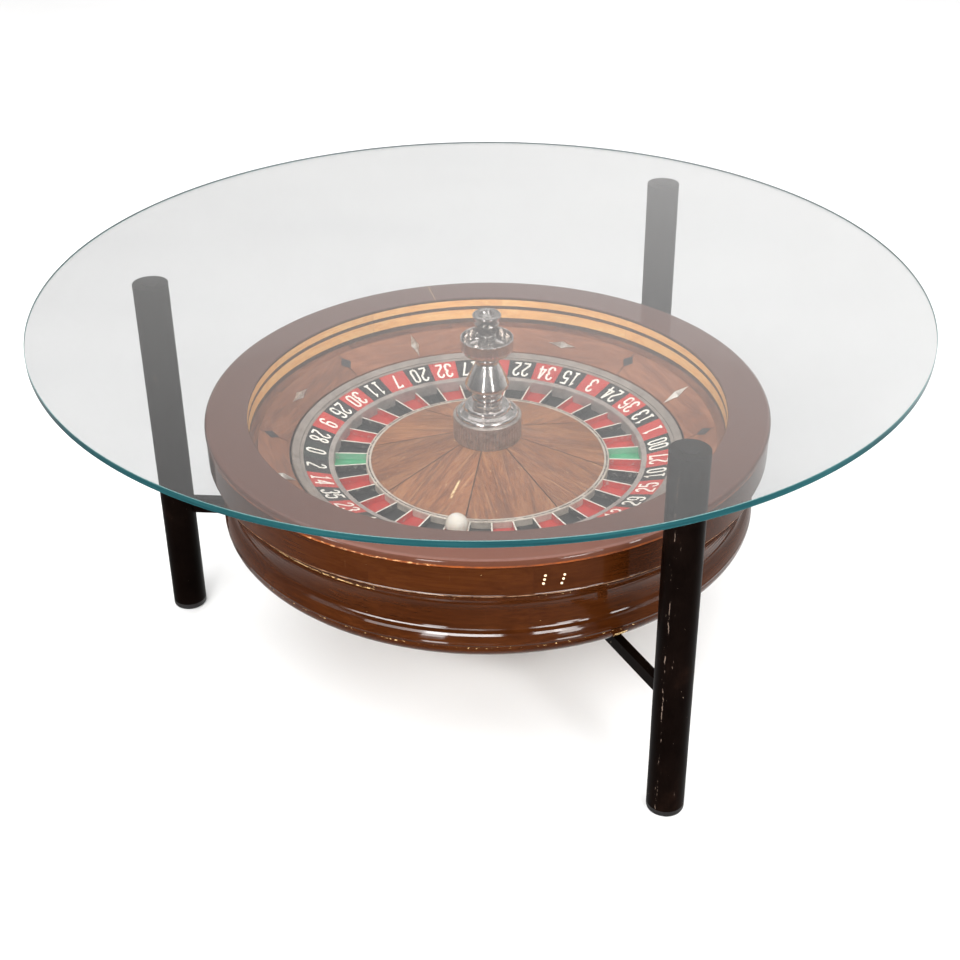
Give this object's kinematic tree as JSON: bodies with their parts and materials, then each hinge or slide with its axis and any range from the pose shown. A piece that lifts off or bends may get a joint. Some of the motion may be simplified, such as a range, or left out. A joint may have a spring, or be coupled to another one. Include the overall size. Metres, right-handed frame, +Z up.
{
  "type": "roulette wheel table",
  "caption": "Roulette wheel with a turned wooden bowl, spinning rotor and chrome turret, set on black bars and round legs under a loose round glass top.",
  "frame": {"origin": "on the floor, on the axis that the rotor turns about, which is near the middle of the glass disc", "axes": "+Z up along the rotor's axis; +Y away from the side the picture was taken from; +X to that side's right"},
  "size_m": [1.2318, 1.232, 0.56],
  "materials": {
    "legs": "satin",
    "plugs": "matt",
    "pads": "clear, soft",
    "screws": "worn",
    "steel": "turned",
    "glass": "polished",
    "board": "raw",
    "mahogany": "high gloss lacquer",
    "maple": "lacquered",
    "dark_wood": "lacquered",
    "track_wood": "lacquered",
    "walnut": "lacquered veneer",
    "ebony": "lacquered",
    "chrome": "polished, slightly worn",
    "cast_iron": "painted",
    "trim_metal": "polished, mottled",
    "red_enamel": "gloss enamel",
    "black_enamel": "gloss enamel",
    "green_enamel": "gloss enamel",
    "ball_plastic": "polished"
  },
  "bodies": {
    "stand": {"leg_front": "legs", "leg_back": "legs", "leg_left": "legs", "leg_top_plugs": "legs", "foot_plugs": "plugs", "glass_pads": "pads", "stretcher_front": "legs", "stretcher_back": "legs", "stretcher_left": "legs", "stretcher_boss": "legs", "stretcher_screws": "screws", "centre_bolt": "steel", "base_board": "board", "lower_ring": "mahogany", "upper_ring": "mahogany", "rim_cap": "mahogany", "maple_bands": "maple", "dark_bands": "dark_wood", "ball_track": "track_wood", "stator_ring": "mahogany", "stator_panels": "walnut", "diamond_inlays": "ebony", "radial_deflectors": "chrome", "cross_deflectors": "chrome", "spindle_flange": "cast_iron", "flange_screws": "steel", "spindle": "steel", "bearing_spacer": "steel", "spindle_washer": "steel", "spindle_nut": "steel", "bearing_inner_races": "steel"},
    "rotor": {"bearing_outer_races": "steel", "bearing_balls": "steel", "bearing_housing": "cast_iron", "housing_screws": "steel", "rotor_base": "mahogany", "rotor_rim": "mahogany", "rotor_cone": "mahogany", "outer_trim_ring": "trim_metal", "number_trim_ring": "trim_metal", "numbers_red": "red_enamel", "numbers_black": "black_enamel", "numbers_green": "green_enamel", "pocket_wall_ring": "trim_metal", "frets": "trim_metal", "pockets_red": "red_enamel", "pockets_black": "black_enamel", "pockets_green": "green_enamel", "inner_trim_ring": "trim_metal", "cone_panels": "walnut", "turret_plate": "steel", "turret_stud": "steel", "turret_collar": "chrome", "turret_bell": "chrome", "turret_body": "chrome", "turret_dish": "chrome", "turret_finial": "chrome"},
    "ball": {"ball": "ball_plastic"},
    "glass": {"glass_top": "glass"}
  },
  "joints": [
    {"name": "rotor_spin", "type": "hinge", "parent": "stand", "child": "rotor", "pos_m": [0, 0, 0.29], "axis": [0, 0, 1], "continuous": true},
    {"name": "ball_lift", "type": "slide", "parent": "rotor", "child": "ball", "axis": [0, 0, 1], "range_m": [0, 0.12]},
    {"name": "glass_lift", "type": "slide", "parent": "stand", "child": "glass", "axis": [0, 0, 1], "range_m": [0, 0.3]}
  ]
}
